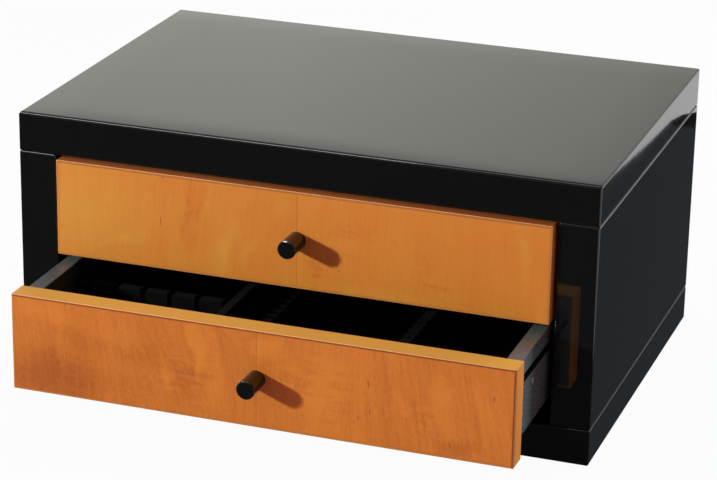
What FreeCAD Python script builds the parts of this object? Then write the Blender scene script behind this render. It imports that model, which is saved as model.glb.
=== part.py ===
import FreeCAD, Part
import os

# Cutlery chest: a black lacquered case with two wood-fronted drawers.
# All sizes are in millimetres. X runs to the right, Y to the back and Z up.
# The origin is the centre of the underside. The upper drawer is shut and the
# lower one stands open by lower_drawer_pull.

# Case
case_width = 450.0
case_depth = 310.0
case_height = 215.0
cap_thickness = 30.0
base_thickness = 28.0
panel_thickness = 30.0
case_round = 1.5
back_thickness = 8.0
back_clearance = 0.3
rebate_width = 10.0

# Felt sheet under the base, set in a shallow recess
foot_felt_thickness = 1.5
foot_felt_recess = 1.0
foot_felt_margin = 6.0

# Drawer fronts and the gaps round them
front_thickness = 18.0
front_proud = 4.5
front_gap_side = 2.5
front_gap_top = 2.0
front_gap_middle = 3.0
front_gap_bottom = 1.5
lipping_thickness = 1.5
lipping_chamfer = 0.4
face_veneer_thickness = 0.8
backing_thickness = 0.8

# Drawer boxes
side_thickness = 12.0
side_inset = 2.5
side_drop = 2.5
side_rise = 14.0
side_chamfer = 0.5
box_back_thickness = 12.0
bottom_thickness = 4.0
bottom_rise = 6.0
bottom_groove_depth = 4.5
bottom_groove_clearance = 0.5
lining_thickness = 1.0
lining_clearance = 0.3

# Runners and the grooves that slide on them
groove_drop = 11.7
groove_height = 6.5
groove_depth = 6.0
runner_clearance = 0.3
runner_tip_clearance = 0.5
runner_setback = 3.0
runner_rear_gap = 2.0
runner_screw_margin = 13.5

# Travel, stops and bumpers
drawer_travel = 200.0
lower_drawer_pull = 80.0
stop_clearance = 0.5
stop_reach = 4.0
stop_drop = 5.9
stop_peg_diameter = 6.0
stop_peg_depth = 10.0
stop_peg_setback = 20.0
stop_pin_diameter = 4.0
stop_pin_depth = 7.0
bumper_diameter = 10.0
bumper_thickness = 4.0
bumper_round = 1.0
bumper_offset = 120.0
bumper_clearance = 0.3

# Knobs
knob_diameter = 14.0
knob_length = 22.0
knob_chamfer = 0.6
knob_bore_depth = 14.0
knob_screw_diameter = 4.0
knob_screw_grip = 12.0
knob_screw_head_diameter = 8.0
knob_screw_head_height = 2.6
knob_screw_head_top_share = 0.6
knob_screw_hole_clearance = 0.2

# Dividers and racks
divider_thickness = 6.0
divider_drop = 4.0
left_bay_width = 133.0
rack_thickness = 8.0
rack_height = 34.0
slot_width = 3.6
slot_depth = 14.0
slot_lead_in = 0.8
rack_end_margin = 6.0
spoon_slot_pitch = 10.0
knife_slot_pitch = 22.0
handle_rack_offset = 20.0
neck_rack_offset = 127.0
front_knife_rack_offset = 60.0
rear_knife_rack_offset = 190.0

# Dowels, and the clearance round everything that is pushed or screwed in
fastener_clearance = 0.05
bore_end_gap = 1.0
dowel_chamfer = 0.6
case_dowel_diameter = 8.0
case_dowel_length = 40.0
case_dowel_pitch = 65.0
case_dowel_count = 4
box_dowel_diameter = 6.0
front_dowel_length = 30.0
front_dowel_grip = 12.0
back_dowel_length = 24.0
back_dowel_grip = 8.0
top_dowel_drop = 5.5
bottom_dowel_rise = 17.0

# Cam connectors between the drawer sides and the front
cam_diameter = 12.0
cam_depth = 9.5
cam_setback = 33.0
cam_drop = 26.0
cam_bolt_diameter = 4.0
cam_bolt_neck_diameter = 3.0
cam_bolt_neck_length = 3.0
cam_bolt_head_length = 2.0
cam_bolt_grip = 11.0

# Screws
runner_screw_diameter = 3.0
runner_screw_head = 5.0
runner_screw_length = 24.0
back_screw_diameter = 4.0
back_screw_head = 8.0
back_screw_length = 25.0
back_screw_margin = 12.0
base_screw_diameter = 5.0
base_screw_head = 10.0
base_screw_length = 50.0
base_screw_pitch = 65.0
base_screw_count = 3
recess_width = 0.8
recess_share = 0.6
recess_depth = 1.2

# Positions worked out from the sizes above
case_half_width = case_width / 2
case_front = -case_depth / 2
case_rear = case_depth / 2
base_underside = foot_felt_thickness - foot_felt_recess
base_top = base_underside + base_thickness
cap_underside = case_height - cap_thickness
opening_half_width = case_half_width - panel_thickness
opening_height = cap_underside - base_top
panel_middle = case_half_width - panel_thickness / 2
back_panel_front = case_rear - back_thickness

front_gaps = front_gap_top + front_gap_middle + front_gap_bottom
front_height = (opening_height - front_gaps) / 2
front_half_width = opening_half_width - front_gap_side
front_face = case_front - front_proud
front_back_face = front_face + front_thickness
lower_front_bottom = base_top + front_gap_bottom
upper_front_bottom = lower_front_bottom + front_height + front_gap_middle

side_outer = front_half_width - side_inset
side_inner = side_outer - side_thickness
side_middle = side_outer - side_thickness / 2
side_height = front_height - side_drop - side_rise
box_rear = back_panel_front - bumper_thickness - bumper_clearance
box_back_front = box_rear - box_back_thickness

runner_height = groove_height - 2 * runner_clearance
runner_tip = side_outer - groove_depth + runner_tip_clearance
runner_front = front_back_face + runner_setback
runner_rear = back_panel_front - runner_rear_gap

stop_peg_y = case_front + stop_peg_setback
stop_spacing = (stop_peg_diameter + stop_pin_diameter) / 2 + stop_clearance
stop_pin_y = stop_peg_y + stop_spacing + drawer_travel

divider_left = -side_inner + left_bay_width
divider_right = divider_left + divider_thickness

ORIGIN = FreeCAD.Vector(0, 0, 0)
RIGHT = FreeCAD.Vector(1, 0, 0)
FRONTWARD = FreeCAD.Vector(0, -1, 0)
BACKWARD = FreeCAD.Vector(0, 1, 0)
UP = FreeCAD.Vector(0, 0, 1)
TOLERANCE = 0.001


def block(low, high):
    """A box between two opposite corners."""
    size = [b - a for a, b in zip(low, high)]
    return Part.makeBox(size[0], size[1], size[2], FreeCAD.Vector(*low))


def rounded_block(low, high, radius):
    """A box with all its edges rounded."""
    shape = block(low, high)
    return shape.makeFillet(radius, shape.Edges)


def placed(shape, position, direction):
    """A shape drawn along +Z, turned to the direction and moved to the position."""
    copy = shape.copy()
    copy.Placement = FreeCAD.Placement(FreeCAD.Vector(*position), FreeCAD.Rotation(UP, direction))
    return copy


def rod(diameter, length, position, direction):
    """A plain cylinder that starts at the position."""
    return placed(Part.makeCylinder(diameter / 2, length), position, direction)


def turned(profile):
    """A solid of revolution about Z from (radius, height) points that start and end on the axis."""
    points = [FreeCAD.Vector(radius, 0, height) for radius, height in profile]
    outline = Part.makePolygon(points + [points[0]])
    return Part.Face(outline).revolve(ORIGIN, UP, 360)


def mirrored(shape):
    """The same shape on the other side of the chest."""
    return shape.mirror(ORIGIN, RIGHT)


def both_sides(shapes):
    """A list of shapes with their mirror images."""
    return shapes + [mirrored(shape) for shape in shapes]


def edges_along(shape, direction):
    """The straight edges of a shape that run along a direction."""
    ends = [(edge, edge.Vertexes[-1].Point - edge.Vertexes[0].Point) for edge in shape.Edges]
    return [edge for edge, run in ends if run.cross(direction).Length < TOLERANCE]


def cut_all(shape, tools):
    """A shape with every tool cut out of it."""
    return shape.cut(tools)


def save(name, shapes):
    """Write one node from a solid or from a list of solids."""
    shape = Part.makeCompound(shapes) if isinstance(shapes, list) else shapes
    shape.exportStep(os.path.join("parts", name + ".step"))


def dowel(diameter, length, position, direction):
    """A plain wooden dowel with chamfered ends."""
    pin = Part.makeCylinder(diameter / 2, length)
    pin = pin.makeChamfer(dowel_chamfer, [edge for edge in pin.Edges if edge.Closed])
    return placed(pin, position, direction)


def dowel_bore(diameter, length, position, direction):
    """The bore for a dowel, a little wider and longer at both ends."""
    axis = FreeCAD.Vector(direction)
    start = FreeCAD.Vector(*position) - axis * bore_end_gap
    return rod(diameter + 2 * fastener_clearance, length + 2 * bore_end_gap, start, direction)


def countersunk_profile(diameter, head, length, grow):
    """Outline of a countersunk screw whose head starts at height 0."""
    cone = (head - diameter) / 2
    shank = diameter / 2 + grow
    tip = diameter / 2
    points = [(0, 0), (head / 2 + grow, 0), (shank, cone), (shank, length - tip)]
    return points + [(0, length + grow)]


def cross_recess(head):
    """The cross in a screw's head."""
    half = head * recess_share / 2
    first = block((-half, -recess_width / 2, 0), (half, recess_width / 2, recess_depth))
    second = block((-recess_width / 2, -half, 0), (recess_width / 2, half, recess_depth))
    return first.fuse(second)


def countersunk_screw(diameter, head, length, position, direction):
    """A countersunk wood screw with a cross in its head."""
    body = turned(countersunk_profile(diameter, head, length, 0))
    return placed(body.cut(cross_recess(head)), position, direction)


def countersunk_bore(diameter, head, length, position, direction):
    """The countersunk hole that the screw fills."""
    body = turned(countersunk_profile(diameter, head, length, fastener_clearance))
    return placed(body, position, direction)


# Case fasteners


def case_dowel_rows(underside):
    """Positions of the dowels along both side panels, with their lower ends at one height."""
    first = -case_dowel_pitch * (case_dowel_count - 1) / 2
    rows = [first + case_dowel_pitch * index for index in range(case_dowel_count)]
    return [(x, y, underside) for x in (-panel_middle, panel_middle) for y in rows]


def case_dowels(joint_height, make):
    """Dowels, or their bores, that stand half above and half below a joint."""
    positions = case_dowel_rows(joint_height - case_dowel_length / 2)
    return [make(case_dowel_diameter, case_dowel_length, position, UP) for position in positions]


def base_screw_items(make):
    """Long screws up through the base, or their bores."""
    first = -base_screw_pitch * (base_screw_count - 1) / 2
    rows = [first + base_screw_pitch * index for index in range(base_screw_count)]
    start = base_underside + foot_felt_recess
    spots = [(x, y, start) for x in (-panel_middle, panel_middle) for y in rows]
    sizes = (base_screw_diameter, base_screw_head, base_screw_length)
    return [make(*sizes, spot, UP) for spot in spots]


def back_screw_items(make):
    """Screws through the back panel into the rebates, or their bores."""
    x = opening_half_width + rebate_width / 2
    low = base_top + back_screw_margin
    high = cap_underside - back_screw_margin
    heights = (low, (low + high) / 2, high)
    spots = [(side * x, case_rear, height) for side in (-1, 1) for height in heights]
    sizes = (back_screw_diameter, back_screw_head, back_screw_length)
    return [make(*sizes, spot, FRONTWARD) for spot in spots]


def runner_middle(front_bottom):
    """Height of the middle of the runner for the drawer whose front starts at front_bottom."""
    side_top = front_bottom + front_height - side_drop
    return side_top - groove_drop - groove_height / 2


def runner_screw_items(make, front_bottom):
    """Screws of the right runner of one drawer, or their bores."""
    rows = (runner_front + runner_screw_margin, (runner_front + runner_rear) / 2,
            runner_rear - runner_screw_margin)
    sizes = (runner_screw_diameter, runner_screw_head, runner_screw_length)
    height = runner_middle(front_bottom)
    return [make(*sizes, (runner_tip, y, height), RIGHT) for y in rows]


def stop_peg(front_bottom, grow):
    """The peg in the right side panel that stops one drawer, or its bore when grown."""
    height = front_bottom + front_height - side_drop - stop_drop
    start = (opening_half_width - stop_reach, stop_peg_y, height)
    return rod(stop_peg_diameter + 2 * grow, stop_reach + stop_peg_depth + grow, start, RIGHT)


# Case


def top_cap():
    """The thick slab on top, with dowel bores in its underside."""
    low = (-case_half_width, case_front, cap_underside)
    high = (case_half_width, case_rear, case_height)
    return cut_all(rounded_block(low, high, case_round), case_dowels(cap_underside, dowel_bore))


def base_slab():
    """The slab at the bottom, with the recess for its felt and bores for dowels and screws."""
    low = (-case_half_width, case_front, base_underside)
    high = (case_half_width, case_rear, base_top)
    slab = rounded_block(low, high, case_round)
    recess = felt_block(base_underside, base_underside + foot_felt_recess)
    bores = case_dowels(base_top, dowel_bore) + base_screw_items(countersunk_bore)
    return cut_all(slab, [recess] + bores)


def felt_block(low, high):
    """A block the size of the felt sheet between two heights."""
    half_width = case_half_width - foot_felt_margin
    half_depth = case_depth / 2 - foot_felt_margin
    return block((-half_width, -half_depth, low), (half_width, half_depth, high))


def right_panel():
    """The right side panel, with the rebate for the back panel and all its bores."""
    low = (opening_half_width, case_front, base_top)
    high = (case_half_width, case_rear, cap_underside)
    panel = rounded_block(low, high, case_round)
    rebate = block((opening_half_width, back_panel_front, base_top),
                   (opening_half_width + rebate_width, case_rear, cap_underside))
    bores = case_dowels(base_top, dowel_bore) + case_dowels(cap_underside, dowel_bore)
    bores += base_screw_items(countersunk_bore) + back_screw_items(countersunk_bore)
    for front_bottom in (lower_front_bottom, upper_front_bottom):
        bores += runner_screw_items(countersunk_bore, front_bottom)
        bores.append(stop_peg(front_bottom, fastener_clearance))
    return cut_all(panel, [rebate] + bores)


def back_panel():
    """The back panel, flush with the rear edges of the case."""
    half_width = opening_half_width + rebate_width - back_clearance
    panel = block((-half_width, back_panel_front, base_top),
                  (half_width, case_rear, cap_underside - back_clearance))
    return cut_all(panel, back_screw_items(countersunk_bore))


def runner(front_bottom):
    """The right runner strip of one drawer."""
    middle = runner_middle(front_bottom)
    low = (runner_tip, runner_front, middle - runner_height / 2)
    high = (opening_half_width, runner_rear, middle + runner_height / 2)
    return cut_all(block(low, high), runner_screw_items(countersunk_bore, front_bottom))


def bumpers():
    """Rubber discs on the back panel, two behind each drawer."""
    disc = Part.makeCylinder(bumper_diameter / 2, bumper_thickness)
    rims = [edge for edge in disc.Edges if edge.Closed and edge.CenterOfMass.z > 0]
    disc = disc.makeFillet(bumper_round, rims)
    heights = [bottom + side_rise + side_height / 2
               for bottom in (lower_front_bottom, upper_front_bottom)]
    spots = [(x, back_panel_front, height)
             for height in heights for x in (-bumper_offset, bumper_offset)]
    return [placed(disc, spot, FRONTWARD) for spot in spots]


def make_case():
    """Write every piece of the case."""
    save("top_cap", top_cap())
    save("base_slab", base_slab())
    panel = right_panel()
    save("right_panel", panel)
    save("left_panel", mirrored(panel))
    save("back_panel", back_panel())
    save("base_felt", felt_block(0, foot_felt_thickness))
    save("cap_dowels", case_dowels(cap_underside, dowel))
    save("base_dowels", case_dowels(base_top, dowel))
    save("base_screws", base_screw_items(countersunk_screw))
    save("back_screws", back_screw_items(countersunk_screw))
    save("rear_bumpers", bumpers())
    runner_screws = []
    pegs = []
    for name, front_bottom in (("lower", lower_front_bottom), ("upper", upper_front_bottom)):
        strip = runner(front_bottom)
        save(name + "_right_runner", strip)
        save(name + "_left_runner", mirrored(strip))
        runner_screws += runner_screw_items(countersunk_screw, front_bottom)
        pegs.append(stop_peg(front_bottom, 0))
    save("runner_screws", both_sides(runner_screws))
    save("stop_pegs", both_sides(pegs))


# Drawer front


def knob_hole(front_bottom):
    """The hole through the middle of a drawer front for the knob's screw."""
    diameter = knob_screw_diameter + 2 * knob_screw_hole_clearance
    start = (0, front_face, front_bottom + front_height / 2)
    return rod(diameter, front_thickness, start, BACKWARD)


def corner_heights(front_bottom):
    """Heights of the two dowels at each corner of a drawer box."""
    side_bottom = front_bottom + side_rise
    return (side_bottom + bottom_dowel_rise, side_bottom + side_height - top_dowel_drop)


def front_dowels(front_bottom, make):
    """Dowels between the right side and the front, or their bores."""
    start = front_back_face - front_dowel_grip
    return [make(box_dowel_diameter, front_dowel_length, (side_middle, start, height), BACKWARD)
            for height in corner_heights(front_bottom)]


def back_dowels(front_bottom, make):
    """Dowels between the right side and the box back, or their bores."""
    start = side_inner - back_dowel_length + back_dowel_grip
    y = box_rear - box_back_thickness / 2
    return [make(box_dowel_diameter, back_dowel_length, (start, y, height), RIGHT)
            for height in corner_heights(front_bottom)]


def cam_height(front_bottom):
    """Height of the cam connectors of one drawer."""
    return front_bottom + front_height - side_drop - cam_drop


def cam_bolt_bore(front_bottom):
    """The bore for the right cam's bolt, through the front's back and the side's end."""
    start = (side_middle, front_back_face - cam_bolt_grip, cam_height(front_bottom))
    diameter = cam_bolt_diameter + 2 * fastener_clearance
    return rod(diameter, cam_bolt_grip + cam_setback, start, BACKWARD)


def bottom_panel(front_bottom, overhang):
    """The bottom of a drawer box, or its grooves when the overhang is their depth."""
    low_height = front_bottom + side_rise + bottom_rise
    low = (-side_inner - overhang, front_back_face - overhang, low_height)
    high = (side_inner + overhang, box_back_front + overhang, low_height + bottom_thickness)
    return block(low, high)


def front_pieces(front_bottom):
    """The board of a drawer front with its lippings, face veneers and backing."""
    front_top = front_bottom + front_height
    inner_half = front_half_width - lipping_thickness
    inner_bottom = front_bottom + lipping_thickness
    inner_top = front_top - lipping_thickness
    core_face = front_face + face_veneer_thickness
    core_back = front_back_face - backing_thickness
    hole = knob_hole(front_bottom)
    right_bores = front_dowels(front_bottom, dowel_bore) + [cam_bolt_bore(front_bottom)]
    bores = both_sides(right_bores) + [hole]
    groove = bottom_panel(front_bottom, bottom_groove_depth)

    core = block((-inner_half, core_face, inner_bottom), (inner_half, core_back, inner_top))
    backing = block((-inner_half, core_back, inner_bottom),
                    (inner_half, front_back_face, inner_top))
    right_leaf = block((0, front_face, inner_bottom), (inner_half, core_face, inner_top))
    right_leaf = right_leaf.cut(hole)
    return {
        "front_core": cut_all(core, bores + [groove]),
        "front_backing": cut_all(backing, bores + [groove]),
        "front_veneers": both_sides([right_leaf]),
        "front_lippings": lippings(front_bottom, front_top),
    }


def lippings(front_bottom, front_top):
    """Four solid wood strips round a drawer front, with chamfered outer corners."""
    whole = block((-front_half_width, front_face, front_bottom),
                  (front_half_width, front_back_face, front_top))
    whole = whole.makeChamfer(lipping_chamfer, whole.Edges)
    inner_bottom = front_bottom + lipping_thickness
    inner_top = front_top - lipping_thickness
    inner_half = front_half_width - lipping_thickness
    lower = block((-front_half_width, front_face, front_bottom),
                  (front_half_width, front_back_face, inner_bottom))
    upper = block((-front_half_width, front_face, inner_top),
                  (front_half_width, front_back_face, front_top))
    right = block((inner_half, front_face, inner_bottom),
                  (front_half_width, front_back_face, inner_top))
    right_strip = whole.common(right)
    return [whole.common(lower), whole.common(upper), right_strip, mirrored(right_strip)]


def knob(front_bottom):
    """A plain cylindrical knob with a chamfered rim and a threaded bore."""
    radius = knob_diameter / 2
    rim = radius - knob_chamfer
    full = knob_length - knob_chamfer
    body = turned([(0, 0), (radius, 0), (radius, full), (rim, knob_length), (0, knob_length)])
    bore = Part.makeCylinder(knob_screw_diameter / 2 + fastener_clearance, knob_bore_depth)
    middle = front_bottom + front_height / 2
    return placed(body.cut(bore), (0, front_face, middle), FRONTWARD)


def knob_screw(front_bottom):
    """The pan-headed screw that holds the knob from inside the drawer."""
    radius = knob_screw_diameter / 2
    head = knob_screw_head_diameter / 2
    height = knob_screw_head_height
    length = front_thickness + knob_screw_grip
    top = head * knob_screw_head_top_share
    profile = [(0, -height), (top, -height), (head, -height / 2), (head, 0),
               (radius, 0), (radius, length), (0, length)]
    middle = front_bottom + front_height / 2
    recess = placed(cross_recess(knob_screw_head_diameter), (0, 0, -height), UP)
    return placed(turned(profile).cut(recess), (0, front_back_face, middle), FRONTWARD)


# Drawer box


def right_side(front_bottom):
    """The right side of a drawer box, with its runner groove outside."""
    low_height = front_bottom + side_rise
    top = low_height + side_height
    side = block((side_inner, front_back_face, low_height), (side_outer, box_rear, top))
    side = side.makeChamfer(side_chamfer, edges_along(side, BACKWARD))
    groove_top = top - groove_drop
    groove = block((side_outer - groove_depth, front_back_face, groove_top - groove_height),
                   (side_outer, box_rear, groove_top))
    bottom_groove = block(
        (side_inner, front_back_face, low_height + bottom_rise),
        (side_inner + bottom_groove_depth, box_rear, low_height + bottom_rise + bottom_thickness))
    bores = front_dowels(front_bottom, dowel_bore) + back_dowels(front_bottom, dowel_bore)
    bores += [cam_bolt_bore(front_bottom), cam_body(front_bottom, fastener_clearance)]
    bores.append(stop_pin(front_bottom, fastener_clearance))
    return cut_all(side, [groove, bottom_groove] + bores)


def box_back(front_bottom):
    """The back of a drawer box."""
    low_height = front_bottom + side_rise
    low = (-side_inner, box_back_front, low_height)
    high = (side_inner, box_rear, low_height + side_height)
    bores = both_sides(back_dowels(front_bottom, dowel_bore))
    return cut_all(block(low, high), bores + [bottom_panel(front_bottom, bottom_groove_depth)])


def cam_body(front_bottom, grow):
    """The cylinder of the right cam connector, or its bore when grown."""
    start = (side_outer, front_back_face + cam_setback, cam_height(front_bottom))
    return rod(cam_diameter + 2 * grow, cam_depth + grow, start, -RIGHT)


def cam(front_bottom):
    """The right cam connector, flush with the side, with a cross in its face."""
    bore = cam_bolt_bore(front_bottom)
    position = (side_outer, front_back_face + cam_setback, cam_height(front_bottom))
    cross = placed(cross_recess(cam_diameter), position, -RIGHT)
    return cam_body(front_bottom, 0).cut([bore, cross])


def cam_bolt(front_bottom):
    """The bolt from the front into the right cam, with a necked head."""
    radius = cam_bolt_diameter / 2
    neck = cam_bolt_neck_diameter / 2
    length = cam_bolt_grip + cam_setback
    head_start = length - cam_bolt_head_length
    neck_start = head_start - cam_bolt_neck_length
    profile = [(0, 0), (radius, 0), (radius, neck_start), (neck, neck_start),
               (neck, head_start), (radius, head_start), (radius, length), (0, length)]
    position = (side_middle, front_back_face - cam_bolt_grip, cam_height(front_bottom))
    return placed(turned(profile), position, BACKWARD)


def stop_pin(front_bottom, grow):
    """The pin in the right drawer side that meets the peg at full travel."""
    height = front_bottom + front_height - side_drop - stop_drop
    start = (side_outer + stop_reach, stop_pin_y, height)
    return rod(stop_pin_diameter + 2 * grow, stop_reach + stop_pin_depth + grow, start, -RIGHT)


# Dividers and racks inside a drawer


def floor_height(front_bottom):
    """Top of the felt lining."""
    return front_bottom + side_rise + bottom_rise + bottom_thickness + lining_thickness


def lining(front_bottom):
    """The felt on the bottom of a drawer."""
    top = floor_height(front_bottom)
    gap = lining_clearance
    low = (-side_inner + gap, front_back_face + gap, top - lining_thickness)
    return block(low, (side_inner - gap, box_back_front - gap, top))


def long_divider(front_bottom):
    """The divider between the narrow left bay and the wide right bay."""
    top = front_bottom + front_height - side_drop - divider_drop
    low = (divider_left, front_back_face, floor_height(front_bottom))
    return block(low, (divider_right, box_back_front, top))


def rack(length, pitch):
    """A comb along X that stands on Z = 0, with slots from above at an even pitch."""
    count = int((length - 2 * rack_end_margin) // pitch) + 1
    first = (length - (count - 1) * pitch) / 2
    half = slot_width / 2
    wide = half + slot_lead_in
    floor = rack_height - slot_depth
    shoulder = rack_height - slot_lead_in
    outline = [(0, 0), (0, rack_height)]
    for index in range(count):
        middle = first + index * pitch
        outline += [(middle - wide, rack_height), (middle - half, shoulder),
                    (middle - half, floor), (middle + half, floor),
                    (middle + half, shoulder), (middle + wide, rack_height)]
    outline += [(length, rack_height), (length, 0)]
    points = [FreeCAD.Vector(x, 0, z) for x, z in outline]
    face = Part.Face(Part.makePolygon(points + [points[0]]))
    return face.extrude(FreeCAD.Vector(0, rack_thickness, 0))


def spoon_rack(offset, front_bottom):
    """A rack along the right bay, its left face at an offset from the divider."""
    comb = rack(box_back_front - front_back_face, spoon_slot_pitch)
    turn = FreeCAD.Rotation(UP, 90)
    spot = (divider_right + offset + rack_thickness, front_back_face, floor_height(front_bottom))
    comb.Placement = FreeCAD.Placement(FreeCAD.Vector(*spot), turn)
    return comb


def knife_rack(offset, front_bottom):
    """A rack across the left bay, its front face at an offset from the drawer front."""
    comb = rack(left_bay_width, knife_slot_pitch)
    spot = (-side_inner, front_back_face + offset, floor_height(front_bottom))
    comb.Placement = FreeCAD.Placement(FreeCAD.Vector(*spot), FreeCAD.Rotation())
    return comb


def make_drawer(name, front_bottom, pull):
    """Write every piece of one drawer, pulled out from its shut place."""
    side = right_side(front_bottom)
    pieces = front_pieces(front_bottom)
    pieces.update({
        "right_side": side,
        "left_side": mirrored(side),
        "box_back": box_back(front_bottom),
        "box_bottom": bottom_panel(front_bottom, bottom_groove_depth - bottom_groove_clearance),
        "felt_lining": lining(front_bottom),
        "front_dowels": both_sides(front_dowels(front_bottom, dowel)),
        "back_dowels": both_sides(back_dowels(front_bottom, dowel)),
        "cams": both_sides([cam(front_bottom)]),
        "cam_bolts": both_sides([cam_bolt(front_bottom)]),
        "stop_pins": both_sides([stop_pin(front_bottom, 0)]),
        "knob": knob(front_bottom),
        "knob_screw": knob_screw(front_bottom),
        "long_divider": long_divider(front_bottom),
        "handle_rack": spoon_rack(handle_rack_offset, front_bottom),
        "neck_rack": spoon_rack(neck_rack_offset, front_bottom),
        "front_knife_rack": knife_rack(front_knife_rack_offset, front_bottom),
        "rear_knife_rack": knife_rack(rear_knife_rack_offset, front_bottom),
    })
    shift = FreeCAD.Vector(0, -pull, 0)
    for piece, shapes in pieces.items():
        solids = shapes if isinstance(shapes, list) else [shapes]
        moved = [solid.translated(shift) for solid in solids]
        save(name + "_" + piece, moved if len(moved) > 1 else moved[0])


os.makedirs("parts", exist_ok=True)
make_case()
make_drawer("lower", lower_front_bottom, lower_drawer_pull)
make_drawer("upper", upper_front_bottom, 0)
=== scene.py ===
"""A black lacquered chest with two wood-faced drawers, dressed for rendering over its CAD frame."""

import math

import bmesh
import bpy
from mathutils import Matrix, Vector, noise


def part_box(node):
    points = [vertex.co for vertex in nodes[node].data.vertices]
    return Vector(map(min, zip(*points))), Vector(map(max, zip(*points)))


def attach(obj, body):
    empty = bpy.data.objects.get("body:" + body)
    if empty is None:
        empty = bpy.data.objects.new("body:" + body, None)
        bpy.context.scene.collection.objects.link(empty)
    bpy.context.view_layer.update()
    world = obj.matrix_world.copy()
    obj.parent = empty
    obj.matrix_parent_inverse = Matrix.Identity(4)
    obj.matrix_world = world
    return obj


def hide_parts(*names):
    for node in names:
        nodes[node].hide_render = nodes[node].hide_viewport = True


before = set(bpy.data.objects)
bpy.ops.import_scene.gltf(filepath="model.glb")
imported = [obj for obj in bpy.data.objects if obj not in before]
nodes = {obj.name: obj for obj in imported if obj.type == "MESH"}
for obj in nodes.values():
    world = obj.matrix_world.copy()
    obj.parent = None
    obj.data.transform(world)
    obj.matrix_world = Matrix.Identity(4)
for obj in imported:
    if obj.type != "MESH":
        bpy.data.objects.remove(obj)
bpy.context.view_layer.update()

MM = 0.001
DRAWERS = ("lower", "upper")
GROOVE_DROP = 11.7 * MM
GROOVE_HEIGHT = 6.5 * MM
CROWN_WIDTH = 40 * MM
CROWN_SLOPE = 0.030
ROLL_WIDTH = 4.5 * MM
ROLL_SLOPE = 0.30


# Node trees


class Graph:
    """A material's or world's node tree, with short calls for the nodes that they share."""

    def __init__(self, owner, output="ShaderNodeOutputMaterial"):
        owner.use_nodes = True
        self.owner = owner
        self.tree = owner.node_tree
        self.tree.nodes.clear()
        self.output = self.node(output)
        self.coordinates = self.node("ShaderNodeTexCoord").outputs
        self.place = self.coordinates["Object"]

    def node(self, kind, **settings):
        made = self.tree.nodes.new(kind)
        for name, value in settings.items():
            setattr(made, name, value)
        return made

    def put(self, socket, value):
        """Sets a socket's own value, or links an output to it."""
        if isinstance(value, bpy.types.NodeSocket):
            self.tree.links.new(value, socket)
        elif isinstance(value, (tuple, list)) and socket.type == "RGBA" and len(value) == 3:
            socket.default_value = (*value, 1)
        else:
            socket.default_value = value

    def math(self, operation, *values, clamp=False):
        made = self.node("ShaderNodeMath", operation=operation, use_clamp=clamp)
        for socket, value in zip(made.inputs, values):
            self.put(socket, value)
        return made.outputs[0]

    def total(self, values):
        result = values[0]
        for value in values[1:]:
            result = self.math("ADD", result, value)
        return result

    def largest(self, values):
        result = values[0]
        for value in values[1:]:
            result = self.math("MAXIMUM", result, value)
        return result

    def vector(self, operation, *values):
        made = self.node("ShaderNodeVectorMath", operation=operation)
        for socket, value in zip(made.inputs, values):
            self.put(socket, value)
        return made.outputs[0]

    def split(self, vector):
        return self.node_out("ShaderNodeSeparateXYZ", {"Vector": vector})

    def node_out(self, kind, inputs, **settings):
        made = self.node(kind, **settings)
        for name, value in inputs.items():
            self.put(made.inputs[name], value)
        return made.outputs

    def join(self, x, y, z):
        return self.node_out("ShaderNodeCombineXYZ", {"X": x, "Y": y, "Z": z})[0]

    def stretched(self, scale, move=(0, 0, 0), turn=(0, 0, 0), vector=None):
        """The object's own coordinates, moved, turned and scaled to a pattern's size."""
        values = {"Vector": vector or self.place, "Location": move, "Rotation": turn, "Scale": scale}
        return self.node_out("ShaderNodeMapping", values)[0]

    def noise(self, vector, detail=2, roughness=0.5, distortion=0, scale=1):
        values = {"Vector": vector, "Scale": scale, "Detail": detail, "Roughness": roughness,
                  "Distortion": distortion}
        return self.node_out("ShaderNodeTexNoise", values)["Fac"]

    def cells(self, vector, feature="F1", output="Distance", randomness=1):
        values = {"Vector": vector, "Scale": 1, "Randomness": randomness}
        return self.node_out("ShaderNodeTexVoronoi", values, feature=feature)[output]

    def span(self, value, low, high, out_low=0, out_high=1, smooth=False):
        values = {"Value": value, "From Min": low, "From Max": high, "To Min": out_low,
                  "To Max": out_high}
        kind = "SMOOTHSTEP" if smooth else "LINEAR"
        return self.node_out("ShaderNodeMapRange", values, interpolation_type=kind, clamp=True)[0]

    def mixed(self, factor, first, second, how="MIX"):
        made = self.node("ShaderNodeMix", data_type="RGBA", blend_type=how)
        self.put(made.inputs[0], factor)
        self.put(made.inputs[6], first)
        self.put(made.inputs[7], second)
        return made.outputs[2]

    def scaled(self, colour, amount):
        """A colour with its brightness multiplied by a number from nodes."""
        return self.vector("MULTIPLY", colour, self.join(amount, amount, amount))

    def bump(self, height, depth, strength=1.0, under=None):
        values = {"Height": height, "Distance": depth, "Strength": strength}
        if under is not None:
            values["Normal"] = under
        return self.node_out("ShaderNodeBump", values)["Normal"]

    def edge_distance(self, box):
        """How far a point on a block's surface is from the block's nearest edge."""
        low, high = box
        middle, half = (low + high) / 2, (high - low) / 2
        away = self.vector("ABSOLUTE", self.vector("SUBTRACT", self.place, tuple(middle)))
        inward = self.split(self.vector("SUBTRACT", tuple(half), away))
        x, y, z = (inward[i] for i in range(3))
        least = self.math("MINIMUM", x, y)
        most = self.math("MAXIMUM", x, y)
        return self.math("MAXIMUM", least, self.math("MINIMUM", most, z))

    def finish(self, **inputs):
        """Ends the tree in one Principled shader. Names take their socket's spelling with _ for space."""
        shader = self.node("ShaderNodeBsdfPrincipled")
        for name, value in inputs.items():
            self.put(shader.inputs[name.replace("_", " ")], value)
        self.end(shader.outputs[0])
        return self.owner

    def end(self, shader):
        self.tree.links.new(shader, self.output.inputs["Surface"])


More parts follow.
